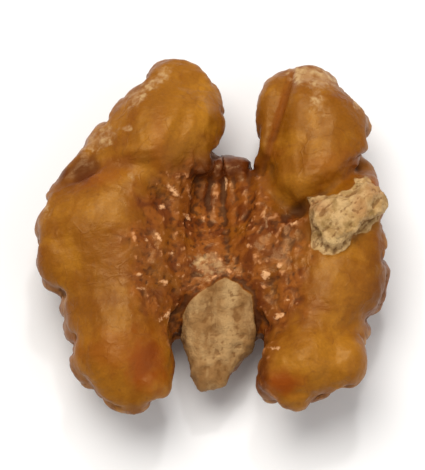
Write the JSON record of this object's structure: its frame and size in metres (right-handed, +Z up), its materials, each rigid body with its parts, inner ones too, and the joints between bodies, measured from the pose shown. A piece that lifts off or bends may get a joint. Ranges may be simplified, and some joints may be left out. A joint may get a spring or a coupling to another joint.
{
  "type": "walnut piece",
  "caption": "Nearly whole half of a shelled walnut kernel, with rounded wings joined by a low middle, a folded outer side and a smooth inner face.",
  "frame": {"origin": "on the surface that the piece rests on, under the middle of its bounding box", "axes": "+X across the two wings, +Y along the kernel towards the open notch between the upper lobes, +Z up, out of the inner face"},
  "size_m": [0.0302, 0.031, 0.0113],
  "materials": {
    "kernel": "thin golden brown skin, satin, reddish in the middle, cream where the flesh is broken"
  },
  "bodies": {
    "root": {"walnut_half": "kernel"}
  },
  "joints": []
}
